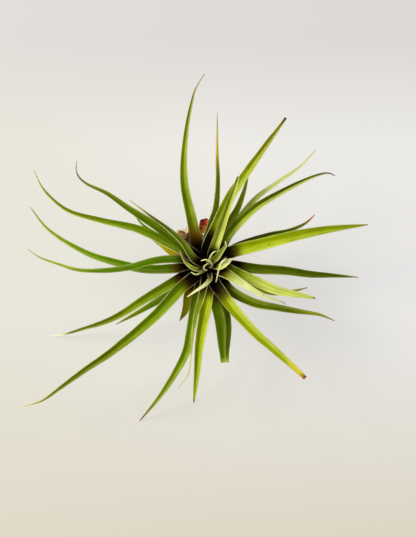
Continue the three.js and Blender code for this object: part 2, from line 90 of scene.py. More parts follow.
# Each blade has its width, and its path beyond the sheath from the axis of the crown. angle and rank place
# its sheath round the stem, and hug is the radius that a dry one bends round. taper and slim shape how the
# width falls towards the tip, and cut is the share of it that a blunt or broken tip keeps. wrap is how far
# the channel bends round, swell the length over which the blade grows to its full width, clasp how much
# wider it flares above the sheath, roll its twist at foot, middle and tip, and skew how far its end slants.
# One that rests comes down to the surface.
LEAVES = {
    "leaf_01": dict(width=9.6, angle=119, rank=3, path=[(-13.5, 37.5, 36), (-18, 59, 46),
        (-18.5, 76, 52), (-16, 101, 58), (-12.8, 117.5, 60), (-9.8, 128, 60), (-3.5, 139, 59)], taper=1.35,
        slim=1.2, roll=[0, 12, 0], clasp=0.3),
    "leaf_02": dict(width=6.2, angle=97, rank=1.5, path=[(1.4, 31, 24), (5, 43, 29), (6.5, 61, 35),
        (6, 81, 43), (6, 112, 50)], taper=1.5, slim=1.3),
    "leaf_03": dict(width=8.8, angle=98, rank=7, path=[(5.3, 29, 46), (15.2, 50, 53), (26.4, 66.6, 58),
        (41.2, 87.4, 63), (55.5, 107, 66)], taper=2.4, cut=0.19),
    "leaf_04": dict(width=8.6, angle=74, rank=8.1, path=[(9, 28, 55), (15, 46, 66), (21, 64, 75)],
        taper=1.9, wrap=100, cut=0.24),
    "leaf_05": dict(width=7.8, angle=66, rank=4.3, path=[(15.8, 33.2, 38), (21, 42.3, 43),
        (25.4, 54.2, 49), (28.1, 64, 54)], taper=1.9, cut=0.18),
    "leaf_06": dict(width=7.0, angle=57, rank=3.5, path=[(18.8, 29.7, 34), (34.2, 49.3, 44),
        (50.8, 61.6, 51), (67, 73, 56), (77.5, 84, 60)], taper=1.5, slim=1.2),
    "leaf_07": dict(width=7.7, angle=53, rank=5.25, path=[(14.4, 22.8, 38), (32.8, 41.6, 48),
        (53.2, 54.1, 56), (77.7, 65.5, 61), (86.5, 67.3, 60), (91.5, 65.5, 57)], taper=1.9, slim=1.1),
    "leaf_08": dict(width=6.0, angle=37, rank=2.5, path=[(21.5, 15, 24), (45, 22.8, 31), (59, 26, 36),
        (70.5, 31.2, 41), (77.5, 37.5, 46)], taper=2.2),
    "leaf_09": dict(width=9.9, angle=36, rank=6.2, path=[(18, 10.8, 42), (36, 15.3, 50), (67, 22.9, 58),
        (88.5, 26.8, 60), (115.5, 30, 57)], taper=3.0),
    "leaf_10": dict(width=8.4, angle=2, rank=3.5, rests=True, path=[(34, -2, 32), (57, -3.5, 29),
        (74.5, -6, 21), (91.5, -7, 9), (113.5, -8.5, -7)], taper=2.1, slim=1.1),
    "leaf_11": dict(width=8.6, angle=-8, rank=5.2, path=[(17.5, -3.8, 35), (34, -11.2, 41),
        (50.5, -18.0, 43), (67.5, -21.5, 42), (78, -23.7, 40)], taper=3.4, cut=0.16),
    "leaf_12": dict(width=5.4, angle=-22, rank=2, path=[(28, -12, 22), (47, -20, 26), (64.5, -18, 28),
        (73, -16, 29)], taper=2.2),
    "leaf_13": dict(width=10.0, angle=-23, rank=7.3, path=[(25.2, -13.2, 50), (33.6, -18.4, 53),
        (44.2, -23.4, 54), (53, -26.2, 53), (56, -28, 51)], taper=1.3, slim=1.3, wrap=60),
    "leaf_14": dict(width=8.4, angle=-48, rank=4.1, path=[(16, -18, 34), (33.3, -27, 38),
        (50.5, -30.6, 39), (67.5, -33.6, 38), (82, -36, 35), (93, -40.5, 31)], taper=2.0, slim=1.1),
    "leaf_15": dict(width=10.4, angle=-72, rank=6.5, path=[(9, -19.5, 42), (17.2, -30.6, 46),
        (33.6, -48.6, 49), (48.8, -62.2, 49.5), (62.2, -74.2, 48), (70.5, -82, 45.5)], taper=1.3, cut=0.33),
    "leaf_16": dict(width=17, angle=-86, rank=3, swell=56, path=[(6.4, -27, 26), (9.7, -37, 28),
        (10.8, -45, 30), (11.1, -54, 30), (11.2, -61, 29), (11.8, -71.5, 28)], taper=3.2, slim=1.6,
        cut=0.38, wrap=95),
    "leaf_17": dict(width=10.0, angle=-92, rank=4.95, path=[(-2.0, -28, 38), (-6.0, -50.5, 42),
        (-7.5, -62, 42.5), (-9.0, -80, 41), (-11.2, -100.5, 36)], taper=2.0, cut=0.14, wrap=85),
    "leaf_18": dict(width=8.8, angle=-106, rank=8, path=[(-4.8, -19.5, 46), (-6.6, -26.5, 50.5),
        (-9.2, -35, 54), (-11.3, -46.5, 57), (-12.8, -62, 58), (-15.2, -78.5, 57), (-22.5, -89, 53)],
        taper=1.5, slim=2.8, wrap=110),
    "leaf_19": dict(width=7.8, angle=-116, rank=4, rests=True, path=[(-9.5, -24, 31), (-13.4, -47, 34),
        (-17.1, -64, 30), (-26.8, -82.6, 21), (-38.6, -100.2, 8), (-52.5, -117.5, -7)], taper=2.2,
        slim=1.1),
    "leaf_20": dict(width=7.4, angle=-127, rank=0.2, path=[(-15.4, -22, 17), (-16.4, -29, 19),
        (-17.6, -34, 19), (-19.2, -38.6, 19)], taper=5.0, cut=0.5, skew=7),
    "leaf_21": dict(width=9.8, angle=-143, rank=6, path=[(-20.5, -16, 39), (-39.5, -36.4, 42.5),
        (-70.5, -62.2, 42), (-91.5, -76.6, 37), (-109.6, -89.8, 30), (-124, -100, 23), (-138, -104.8, 18)],
        taper=1.6, slim=1.1),
    "leaf_22": dict(width=9.0, angle=-160, rank=2.2, rests=True, path=[(-23.5, -10.4, 23),
        (-49.5, -25.8, 25), (-63.5, -34.8, 21), (-78, -41.8, 14), (-93, -46.6, 5), (-111, -52, -3),
        (-120, -53.2, -7)], taper=1.6, slim=1.3),
    "leaf_23": dict(width=6.4, angle=-149, rank=1.2, path=[(-32.5, -22.4, 17), (-50, -32.9, 14),
        (-70, -43.9, 8)], taper=2.4),
    "leaf_24": dict(width=7.4, angle=165, rank=4.1, path=[(-21.5, 5.2, 32), (-40, 4, 37),
        (-59, -1.0, 38), (-76, -3.2, 37), (-97, -2.8, 33), (-110.5, 1.2, 30), (-126, 6.7, 27),
        (-134.5, 12.5, 26)], taper=1.3, slim=1.2),
    "leaf_25": dict(width=8.0, angle=178, rank=3.1, path=[(-23, -1.4, 27), (-49, -2.0, 30),
        (-70.5, 3.0, 30), (-90.5, 9.6, 28), (-119.5, 27.4, 24.5), (-133, 44, 24)], taper=1.6, slim=1.1),
    "leaf_26": dict(width=9.6, angle=150, rank=5.0, path=[(-17, 10.4, 34.5), (-31.5, 17.6, 39),
        (-52, 27, 43.5), (-79.5, 33.4, 47), (-104, 41, 49), (-121, 56.2, 50), (-128, 70, 49)], taper=1.1,
        slim=1.1),
    "leaf_27": dict(width=9.0, angle=142, rank=6, path=[(-28.5, 22, 42.5), (-43, 32, 47.5),
        (-58.5, 42, 51.5), (-74.5, 53, 55), (-89.5, 60.2, 57), (-94.8, 65.2, 58), (-96.4, 70, 58),
        (-96, 76, 58)], taper=1.5, slim=1.3),
    "leaf_28": dict(width=7.8, angle=155, rank=7.7, path=[(-19.5, 17.6, 46), (-30.4, 27.5, 50),
        (-43.6, 37.1, 53), (-58, 48, 55)], taper=1.1, slim=1.3),
    "leaf_29": dict(width=5.6, angle=147, rank=1, path=[(-33, 19.5, 19), (-49, 30.5, 23),
        (-56.5, 39.5, 25)], taper=2.0, slim=1.2),
    "leaf_30": dict(width=8.0, angle=161, rank=0, path=[(-25.5, 9.5, 15), (-35.5, 16.2, 16),
        (-42.5, 20.2, 15)], taper=2.6, cut=0.2),
}
YOUNG_LEAVES = {
    "young_leaf_1": dict(width=5.8, taper=2.6, wrap=110, path=[(0.7, 2.1, 31.2), (2.5, 3.6, 37),
        (5.8, 6.4, 43), (9.2, 10.8, 48), (12.2, 15.2, 51), (11.8, 18.2, 52.5)]),
    "young_leaf_2": dict(width=6.8, taper=5.0, wrap=100, path=[(2.6, -0.2, 30.2), (4.8, -0.2, 36),
        (8.6, 0.3, 42.5), (12.5, 2.4, 45.5), (17.2, 5.6, 46.5)]),
    "young_leaf_3": dict(width=5.0, taper=1.5, wrap=100, path=[(0.2, -2.6, 30.6), (0.4, -5.0, 37.5),
        (0.6, -9.8, 46), (-3.4, -14, 51.5), (-9.8, -18.3, 54), (-16, -22.6, 53)]),
    "young_leaf_4": dict(width=4.4, taper=2.0, wrap=90, path=[(-2.7, -0.2, 30.8), (-4.6, -1.2, 36),
        (-8, -2.6, 41), (-13, -0.8, 44.5), (-17.6, 3.4, 46), (-21.5, 11, 46)]),
    "young_leaf_5": dict(width=1.9, taper=2.4, wrap=80, path=[(-1.3, 1.6, 31), (-1.6, 3.0, 37),
        (0.2, 4.8, 43), (1.3, 7.6, 46), (3.4, 10.1, 47.5), (5.6, 11, 47.6)]),
    "young_leaf_6": dict(width=1.9, taper=2.0, wrap=70, path=[(1.6, -0.3, 31.4), (3.8, 0.2, 38),
        (6.6, 2.4, 45.3), (9.6, 5.0, 48.6), (12.2, 6.2, 50.2), (12.8, 5.8, 51.2), (11.4, 4.6, 52),
        (8.6, 1.8, 52.6), (7.2, -2.4, 52.2), (6.2, -6.6, 51), (5, -12, 48)]),
    "young_leaf_7": dict(width=2.2, taper=2.2, wrap=80, path=[(-1.0, -1.3, 31.6), (-2.8, -3.3, 37.4),
        (-6.2, -5.0, 42.8), (-9.5, -6.2, 45.2), (-13.2, -4.6, 45.8)]),
    "young_leaf_8": dict(width=1.7, taper=2.2, wrap=70, path=[(0.1, -0.9, 32), (1.5, -0.9, 38),
        (2.2, 0.6, 43), (0.8, 3.2, 45.5), (-2.4, 4.6, 46), (-6, 3.8, 44.5)]),
    "young_leaf_9": dict(width=1.5, taper=2.2, wrap=70, path=[(-0.4, 0.5, 32), (0.0, 1.6, 37),
        (0.2, 2.3, 41), (-1.8, 1.2, 43), (-3.8, -0.6, 43.6), (-3.6, -2.2, 43.2), (-1.4, -3.4, 42.4)]),
}
DRY_SHEATHS = {
    "dry_sheath_1": dict(width=11.6, hug=9.1, cut=0.76, taper=3, wrap=110, path=[(-4.2, 25.1, -3),
        (-3.3, 28.7, 2), (-2.9, 32.5, 5), (-3.1, 35.3, 6)]),
    "dry_sheath_2": dict(width=7.6, hug=9.1, cut=0.4, taper=2, wrap=100, path=[(-12.0, 25.8, -3),
        (-13.0, 29.2, 1), (-15, 32.5, 3)]),
    "dry_sheath_3": dict(width=8.6, hug=9.1, cut=0.5, taper=2, wrap=100, path=[(-17.4, 21.7, -3),
        (-20.7, 23.8, 0), (-24.5, 25.5, 1.5)]),
    "dry_sheath_4": dict(width=8.6, hug=9.1, cut=0.5, taper=2, wrap=100, path=[(-18.6, 14.2, -3),
        (-22.5, 12.5, 0), (-27, 11, 1.5)]),
    "dry_sheath_5": dict(width=8.6, hug=9.1, cut=0.5, taper=2, wrap=100, path=[(-0.8, 19.6, -3),
        (3.3, 20.6, 1), (7.7, 22, 3)]),
}


def tone(red, green, blue):
    """A colour given in the 0 to 255 steps of a screen, as linear light."""
    steps = [c / 255 for c in (red, green, blue)]
    return Vector([c / 12.92 if c < 0.04045 else ((c + 0.055) / 1.055) ** 2.4 for c in steps])


# The first two colours are the dark sheath: near black, which is painted shade deep in the crown, and the
# sheath's own purple-brown.
SHADE_BLACK = tone(12, 3, 3)
MAHOGANY = tone(48, 18, 8)
UMBER = tone(112, 80, 8)
DARK_OLIVE = tone(74, 72, 3)
MOSS = tone(62, 76, 0)
DEEP_GREEN = tone(84, 102, 0)
GREEN = tone(104, 128, 0)
GRASS = tone(124, 146, 0)
YELLOW_GREEN = tone(150, 164, 10)
LIME = tone(158, 168, 14)
PALE_LIME = tone(184, 193, 92)
PALE_GREEN = tone(182, 190, 124)
STRAW = tone(208, 206, 124)
OLIVE = tone(112, 112, 8)
YELLOW_OLIVE = tone(150, 146, 24)
YELLOW = tone(204, 196, 64)
RUST = tone(146, 60, 22)
BROWN = tone(96, 64, 30)
DARK_BROWN = tone(66, 44, 20)
GREY_BROWN = tone(138, 118, 96)
CREAM = tone(234, 230, 184)
HEM = tone(216, 210, 158)
SILVER = tone(208, 208, 160)
SCURF = tone(196, 204, 120)

# Each blade's colours: green at its middle, outer towards its end, and tip. outer_at and tip_at are the
# shares of its length at which those two take over. dark is the two radii from the crown's axis between
# which the dark sheath gives way to green, and sheath_edge_tone the tone in between; that dark is the
# sheath's own purple-brown, deepened by painted shade down in the crown. dark_to is a share of the length
# that stays dark in the same way on blades that bend back over the heart. margins is how strong the pale
# edges are, and sides is light and shade painted on the channel's two halves: how much paler each
# half is, a painted highlight, or darker below zero, painted shade: first the right, then the left of
# someone who looks from the heart out along the leaf. rib is a painted line along the blade's crease:
# where it runs, from -1 at the right margin to 1 at the left one, how much paler it is, a painted
# highlight on the fold, or darker below zero, painted shade in the crease, and how far it spreads.
# point is how much of its width the tip keeps.
PLAIN = dict(green=GREEN, outer=YELLOW_OLIVE, tip=BROWN, outer_at=0.8, tip_at=0.95, dark=(12, 27),
             margins=(0.5, 0.5), sides=(0.1, -0.1), rib=(0, 0, 0.2), point=0.8, dark_to=0.0,
             sheath_edge_tone=DARK_OLIVE)
SKINS = {
    "leaf_01": dict(green=GRASS, outer=OLIVE, outer_at=0.55, tip=GREY_BROWN, tip_at=0.87, dark=(8, 44),
                    margins=(0.6, 0.2), sides=(0.4, -0.3), sheath_edge_tone=tone(122, 88, 6)),
    "leaf_02": dict(green=DEEP_GREEN, outer=tone(182, 166, 56), outer_at=0.55, tip=tone(120, 84, 84),
                    tip_at=0.9, margins=(0.3, 1.0), sides=(-0.2, 0.1), dark=(10, 22)),
    "leaf_03": dict(green=tone(136, 150, 8), outer=OLIVE, outer_at=0.62, tip=DARK_BROWN, tip_at=0.965,
                    dark=(18, 34), margins=(0.4, 1.0), sides=(0.45, -0.2), point=1.1),
    "leaf_04": dict(green=tone(158, 168, 70), outer=tone(132, 142, 34), outer_at=0.4, tip=OLIVE,
                    margins=(1.0, 0.4), dark=(8, 19), sides=(0.7, -0.25), rib=(0.15, -0.8, 0.2), point=1.0),
    "leaf_05": dict(green=tone(84, 98, 0), outer=tone(112, 128, 8), outer_at=0.6, tip=OLIVE, dark=(16, 36),
                    margins=(0.3, 0.3), point=0.9),
    "leaf_06": dict(green=tone(190, 200, 84), outer=tone(176, 184, 120), outer_at=0.25, tip=PALE_GREEN,
                    margins=(0.6, 0.3), dark=(8, 20), sides=(0.2, 0.1)),
    "leaf_07": dict(green=GRASS, outer=tone(60, 74, 0), outer_at=0.32, tip=DARK_BROWN, tip_at=0.93,
                    margins=(0.5, 0.25), sides=(0.6, -0.6)),
    "leaf_08": dict(green=tone(66, 80, 0), outer=tone(88, 92, 4), tip=RUST, tip_at=0.91, margins=(0.3, 0.3),
                    sides=(0.1, -0.3)),
    "leaf_09": dict(green=tone(138, 152, 6), outer=tone(128, 140, 6), outer_at=0.55, tip=RUST, tip_at=0.975,
                    dark=(14, 33), point=1.0, sides=(0.2, -0.15)),
    "leaf_10": dict(green=DEEP_GREEN, outer=tone(90, 106, 2), outer_at=0.6, tip=tone(150, 112, 66),
                    dark=(18, 34)),
    "leaf_11": dict(green=GRASS, outer=tone(188, 196, 100), outer_at=0.25, tip=BROWN, tip_at=0.98,
                    dark=(8, 22), point=1.0),
    "leaf_12": dict(green=YELLOW_GREEN, outer=UMBER, outer_at=0.84, tip=BROWN, tip_at=0.97),
    "leaf_13": dict(green=tone(126, 136, 34), outer=tone(198, 203, 144), outer_at=0.24, tip=GREY_BROWN,
                    tip_at=0.94, dark=(8, 21), margins=(1.0, 0.4), sides=(0.1, -0.1)),
    "leaf_14": dict(green=DEEP_GREEN, outer=tone(132, 134, 24), outer_at=0.65, tip=tone(120, 92, 50),
                    dark=(12, 30), sides=(-0.15, 0.2)),
    "leaf_15": dict(green=tone(146, 158, 6), outer=YELLOW, outer_at=0.8, tip=RUST, tip_at=0.975,
                    dark=(14, 36), point=0.9, sides=(-0.15, 0.5)),
    "leaf_16": dict(green=GREEN, outer=GREEN, outer_at=0.6, tip=PALE_LIME, tip_at=0.97, dark=(14, 38),
                    margins=(0.4, 0.2), sides=(0.0, -0.7), rib=(0.14, 0.65, 0.22), point=1.1),
    "leaf_17": dict(green=YELLOW_GREEN, outer=YELLOW_GREEN, tip=RUST, tip_at=0.975, dark=(12, 30),
                    sides=(-0.6, 0.15)),
    "leaf_18": dict(green=tone(112, 132, 0), outer=tone(150, 158, 62), outer_at=0.42, tip=OLIVE,
                    margins=(0.8, 0.8), dark=(12, 30)),
    "leaf_19": dict(green=GREEN, outer=OLIVE, tip=tone(72, 10, 12), tip_at=0.93, sides=(-0.1, 0.3)),
    "leaf_20": dict(green=OLIVE, outer=OLIVE, tip=OLIVE, dark=(16, 32), sides=(0.0, -0.3), point=1.0,
                    sheath_edge_tone=UMBER),
    "leaf_21": dict(green=tone(104, 130, 0), outer=tone(90, 100, 0), outer_at=0.3, tip=YELLOW_OLIVE,
                    tip_at=0.97, dark=(15, 32), margins=(0.9, 0.35), sides=(-0.45, 0.12)),
    "leaf_22": dict(green=tone(106, 128, 0), outer=tone(80, 88, 0), outer_at=0.4, tip=tone(222, 214, 186),
                    tip_at=0.91, dark=(18, 34), sides=(-0.2, 0.15), sheath_edge_tone=tone(80, 54, 8)),
    "leaf_23": dict(green=tone(92, 122, 0), outer=tone(106, 120, 4), outer_at=0.7, tip=RUST, tip_at=0.97),
    "leaf_24": dict(green=tone(80, 112, 0), outer=tone(128, 144, 20), outer_at=0.6, tip=tone(164, 112, 84),
                    tip_at=0.93, dark=(14, 28)),
    "leaf_25": dict(green=tone(88, 120, 0), outer=tone(112, 132, 4), outer_at=0.65, tip=tone(100, 30, 14),
                    dark=(15, 35), sheath_edge_tone=tone(96, 80, 6), sides=(0.0, 0.2)),
    "leaf_26": dict(green=GREEN, outer=tone(106, 124, 4), outer_at=0.5, tip=tone(112, 132, 30),
                    dark=(14, 24), margins=(0.1, 1.0), sides=(-0.2, 0.15)),
    "leaf_27": dict(green=tone(90, 114, 0), outer=tone(98, 108, 4), outer_at=0.6, tip=tone(126, 98, 96),
                    tip_at=0.87, dark=(14, 26), margins=(0.5, 0.1)),
    "leaf_28": dict(green=DEEP_GREEN, outer=MOSS, outer_at=0.5, tip=tone(118, 126, 66), tip_at=0.85,
                    dark=(8, 18), margins=(0.3, 1.0)),
    "leaf_29": dict(green=MOSS, outer=GREEN, outer_at=0.6, tip=CREAM, tip_at=0.93, sides=(0, 0)),
    "leaf_30": dict(green=tone(226, 150, 30), outer=tone(190, 178, 16), outer_at=0.3, tip=YELLOW_GREEN,
                    tip_at=0.85, dark=(16, 24), margins=(0.1, 0.1), sides=(0, 0), sheath_edge_tone=RUST),
    "young_leaf_1": dict(green=tone(108, 128, 4), outer=SILVER, outer_at=0.9, tip=SILVER, dark=(2, 8),
                         margins=(1.0, 0.4)),
    "young_leaf_2": dict(green=LIME, outer=PALE_GREEN, outer_at=0.5, tip=CREAM, tip_at=0.86, dark=(3, 8),
                         margins=(1.0, 1.0)),
    "young_leaf_3": dict(green=tone(176, 168, 96), outer=CREAM, outer_at=0.4, tip=CREAM, dark=(5, 13),
                         dark_to=0.3),
    "young_leaf_4": dict(green=tone(128, 142, 8), outer=MAHOGANY, outer_at=0.6, tip=MAHOGANY, dark=(4, 11),
                         margins=(0.1, 1.0)),
    "young_leaf_5": dict(green=tone(170, 172, 90), outer=SILVER, tip=SILVER, dark=(1, 8)),
    "young_leaf_6": dict(green=tone(214, 212, 160), outer=tone(206, 208, 150), tip=SILVER, dark=(2, 8),
                         dark_to=0.6),
    "young_leaf_7": dict(green=YELLOW_OLIVE, outer=STRAW, outer_at=0.6, tip=SILVER, dark=(3, 9)),
    "young_leaf_8": dict(green=tone(180, 184, 90), outer=SILVER, tip=SILVER, dark=(0.1, 3)),
    "young_leaf_9": dict(green=tone(170, 172, 80), outer=SILVER, tip=SILVER, dark=(0.1, 2)),
    "dry_sheath_1": dict(green=tone(255, 164, 66), outer=tone(200, 60, 20), outer_at=0.5,
                         tip=tone(120, 24, 12), tip_at=0.9, dark=(18, 25)),
    "dry_sheath_2": dict(green=tone(196, 150, 100), outer=tone(222, 192, 150), tip=CREAM, dark=(0.1, 1)),
    "dry_sheath_3": dict(green=tone(232, 190, 140), outer=tone(236, 216, 184), tip=CREAM, dark=(0.1, 1)),
    "dry_sheath_4": dict(green=tone(220, 110, 40), outer=tone(236, 160, 80), tip=CREAM, dark=(0.1, 1)),
    "dry_sheath_5": dict(green=tone(156, 86, 34), outer=tone(200, 150, 90), tip=CREAM, dark=(0.1, 1)),
}

# How a blade's colours meet. TIP_FADE, DARK_FADE and SIDES_END are shares of its length, HALF_FADE is a
# share of half its width, and RIB_CORE is the share of the rib line's spread that has its full strength.
# The dark sheath, its own purple-brown deepened by painted shade down in the crown, turns from painted
# black shade through mahogany and the sheath's edge tone to green, each over its own span of the way out
# of the dark. The pale margins come in between two multiples of the radius at which the dark begins to
# end.
TIP_FADE = 0.03
DARK_FADE = 0.1
SIDES_END = 0.8
HALF_FADE = 0.15
RIB_CORE = 0.15
SHADE_BLACK_SPAN, MAHOGANY_SPAN, SHEATH_EDGE_SPAN = (0, 0.35), (0.1, 0.55), (0.4, 1)
HEM_FROM, HEM_FULL = 0.6, 1.2

# What the points of a blade keep for its material, beside their colour.
FACTS = ("across", "rim_mm", "along_mm", "margin", "belly", "clear_of_dark")


def clamp(value, low=0.0, high=1.0):
    return max(low, min(high, value))


def lerp(a, b, share):
    return a + (b - a) * share


def smoothstep(value, low, high):
    share = clamp((value - low) / (high - low))
    return share * share * (3 - 2 * share)


class Line:
    """A smooth line through points, spaced so that it doesn't loop, and measured along its length."""

    STEPS = 200
    STRIDE = 0.0001

    def __init__(self, points):
        self.points = [Vector(p) for p in points]
        self.reach = [0.0]
        last = self.raw(0)
        for i in range(1, self.STEPS + 1):
            here = self.raw(i / self.STEPS)
            self.reach.append(self.reach[-1] + (here - last).length)
            last = here

    def raw(self, t):
        p = self.points
        n = len(p)
        i = min(int((n - 1) * t), n - 2)
        w = (n - 1) * t - i
        before = p[i - 1] if i > 0 else 2 * p[0] - p[1]
        after = p[i + 2] if i + 2 < n else 2 * p[-1] - p[-2]
        stops = [before, p[i], p[i + 1], after]
        d0, d1, d2 = [math.sqrt((b - a).length) for a, b in zip(stops, stops[1:])]
        x0, x1, x2, x3 = stops
        t1 = ((x1 - x0) / d0 - (x2 - x0) / (d0 + d1) + (x2 - x1) / d1) * d1
        t2 = ((x2 - x1) / d1 - (x3 - x1) / (d1 + d2) + (x3 - x2) / d2) * d1
        c2 = -3 * x1 + 3 * x2 - 2 * t1 - t2
        c3 = 2 * x1 - 2 * x2 + t1 + t2
        return x1 + t1 * w + c2 * w * w + c3 * w ** 3

    def share_of(self, s):
        """The share of the way through the points that lies at a share of the length."""
        wanted = s * self.reach[-1]
        for i in range(self.STEPS):
            if self.reach[i + 1] >= wanted:
                break
        span = self.reach[i + 1] - self.reach[i]
        return (i + (wanted - self.reach[i]) / span) / self.STEPS

    def at(self, s):
        return self.raw(self.share_of(s))

    def tangent(self, s):
        t = self.share_of(s)
        low, high = max(t - self.STRIDE, 0), min(t + self.STRIDE, 1)
        return (self.raw(high) - self.raw(low)).normalized()


def ring_point(radius, angle, z):
    turn = math.radians(angle)
    return (radius * math.cos(turn), radius * math.sin(turn), z)


def sheath_points(leaf):
    radius = SHEATH_RADIUS - RANK_RADIUS * leaf["rank"]
    height = SHEATH_HEIGHT + RANK_HEIGHT * leaf["rank"]
    flare = height + FLARE_UP + FLARE_PER_RANK * leaf["rank"]
    return [
        ring_point(radius, leaf["angle"], height),
        ring_point(radius + RISE_OUT, leaf["angle"], height + RISE_UP),
        ring_point(radius + FLARE_OUT, leaf["angle"], flare),
    ]


def clasp_at(distance):
    return smoothstep(distance, CLASP_FROM, CLASP_FULL) * (1 - smoothstep(distance, CLASP_FULL, CLASP_TO))


def width_at(leaf, s, length):
    growth = smoothstep(s * length, 0, leaf.get("swell", SHEATH_LENGTH))
    base = lerp(SHEATH_NARROWING, 1, growth)
    flare = 1 + leaf.get("clasp", 0) * clasp_at(s * length)
    end = max(leaf["width"] * leaf.get("cut", 0), TIP_WIDTH)
    fall = (1 - s ** leaf["taper"]) ** leaf.get("slim", 1)
    return lerp(end, leaf["width"] * base * flare, fall)


def wrap_at(leaf, s, length):
    if "hug" in leaf:
        hug = leaf["hug"]
    elif "rank" in leaf:
        hug = SHEATH_RADIUS - RANK_RADIUS * leaf["rank"]
    else:
        hug = math.hypot(*leaf["path"][0][:2])
    base = leaf["width"] * SHEATH_NARROWING / hug
    return lerp(base, math.radians(leaf.get("wrap", PLAIN_WRAP)), smoothstep(s * length, 0, SHEATH_LENGTH))


def roll_at(leaf, s):
    base, middle, tip = leaf.get("roll", (0, 0, 0))
    return math.radians(lerp(base, middle, 2 * s) if s < 0.5 else lerp(middle, tip, 2 * s - 1))


def half_thickness(across, rim, s):
    """Half the blade's thickness: full over the rib, a membrane at the margin, thinner towards the tip."""
    full = lerp(RIB_THICKNESS, EDGE_THICKNESS, across * across) / 2
    membrane = lerp(HALF_MEMBRANE, full, smoothstep(rim, 0, MEMBRANE_REACH))
    return membrane * lerp(1, TIP_THINNING, smoothstep(s, TIP_THIN_FROM, 1))


def settle(points, shares):
    """Bend a blade, most of all at its tip, so that its lowest point comes to lie on the surface."""
    for _ in range(SETTLE_ROUNDS):
        lowest = min(p.z for p in points)
        for point, s in zip(points, shares):
            point.z -= lowest * s * s


def wall_faces(first, size, rings):
    """The faces between rings of points that follow each other from the first point on."""
    faces = []
    for ring in range(rings):
        for i in range(size):
            a, b = first + ring * size + i, first + ring * size + (i + 1) % size
            faces.append((a, b, b + size, a + size))
    return faces


def blade(name, leaf, rings, look):
    """The blade as a fine closed skin, whose points keep their colours and their places on it."""
    line = Line((sheath_points(leaf) if "rank" in leaf else []) + leaf["path"])
    length = line.reach[-1]
    seed = sum(ord(c) for c in name) * SEED_STEP
    skin = {**PLAIN, **SKINS[name]}
    points, facts = [], []
    for ring in range(rings + 1):
        s = (ring / rings) ** RING_CROWDING
        centre, along = line.at(s), line.tangent(s)
        side = Vector((0, 0, 1)).cross(along).normalized()
        side.rotate(Matrix.Rotation(roll_at(leaf, s), 3, along))
        up = along.cross(side)
        width = width_at(leaf, s, length) * lerp(1, skin["point"], smoothstep(s, POINT_FROM, 1))
        wrap = wrap_at(leaf, s, length)
        radius = width / wrap
        skew = leaf.get("skew", 0) / 2 * smoothstep(s, SKEW_FROM, 1)
        for face in (-1, 1):
            for t in COLUMNS if face < 0 else reversed(COLUMNS):
                rim = (1 - abs(t)) * width / 2
                half = half_thickness(t, rim, s) * face
                turn = wrap / 2 * t
                row = LEFT_ROW if t > 0 else RIGHT_ROW
                ripple = RIPPLE * noise.noise((s * length * RIPPLE_PITCH, seed, row)) * abs(t) ** 3
                ripple *= smoothstep(s, RIPPLE_FROM, RIPPLE_FULL)
                point = centre - along * (skew * t) + side * ((radius + half) * math.sin(turn))
                point += up * (radius - (radius + half) * math.cos(turn) + ripple)
                if look == "torn" and s > RAGGED_FROM:
                    ragged = noise.noise((t * COARSE_TEARS, seed, COARSE_ROW))
                    ragged += 0.5 * noise.noise((t * FINE_TEARS, seed, FINE_ROW))
                    point += along * (RAGGED * ragged * smoothstep(s, RAGGED_FROM, 1))
                points.append(point + CROWN)
                facts.append((s, t, rim, s * length, centre.xy.length, face))
    if leaf.get("rests"):
        settle(points, [fact[0] for fact in facts])
    size = 2 * len(COLUMNS)
    faces = wall_faces(0, size, rings)
    faces.append(tuple(range(size)))
    faces.append(tuple(rings * size + i for i in reversed(range(size))))
    mesh = bpy.data.meshes.new(name + "_fine")
    mesh.from_pydata([p * MM for p in points], [], faces)
    set_facts(mesh, facts, skin)
    return finish_piece(mesh, name + "_fine", look)


def shaded(colour, share):
    """The colour made paler by a share, a painted highlight, or darker where the share is below zero,
    painted shade.
    """
    return colour.lerp(PALE_LIME if share > 0 else MOSS, abs(share))


def skin_colour(skin, s, t, clear_of_dark):
    """The colour at a share of the length, of the half width, and of the way out of the dark sheath, 0 to
    1.
    """
    outer_full = 0.5 + skin["outer_at"] / 2
    colour = skin["green"].lerp(skin["outer"], smoothstep(s, skin["outer_at"], outer_full))
    colour = colour.lerp(skin["tip"], smoothstep(s, skin["tip_at"] - TIP_FADE, skin["tip_at"] + TIP_FADE))
    # Painted light: one half of the channel made paler, a painted highlight, and the other darker, painted
    # shade, as light falls across it.
    right, left = skin["sides"]
    half = lerp(right, left, smoothstep(t, -HALF_FADE, HALF_FADE))
    colour = shaded(colour, half * clear_of_dark * (1 - smoothstep(s, SIDES_END, 1)))
    # Painted light along the crease: a paler line is a painted highlight on the fold, a darker one painted
    # shade in the crease.
    rib_at, rib, spread = skin["rib"]
    colour = shaded(colour, rib * clear_of_dark * (1 - smoothstep(abs(t - rib_at), spread * RIB_CORE, spread)))
    # Painted shade: towards the crown's axis the colour darkens through the sheath's own browns to near
    # black, the shade deep in the crown.
    for dark, span in ((skin["sheath_edge_tone"], SHEATH_EDGE_SPAN), (MAHOGANY, MAHOGANY_SPAN), (SHADE_BLACK, SHADE_BLACK_SPAN)):
        colour = dark.lerp(colour, smoothstep(clear_of_dark, *span))
    return colour


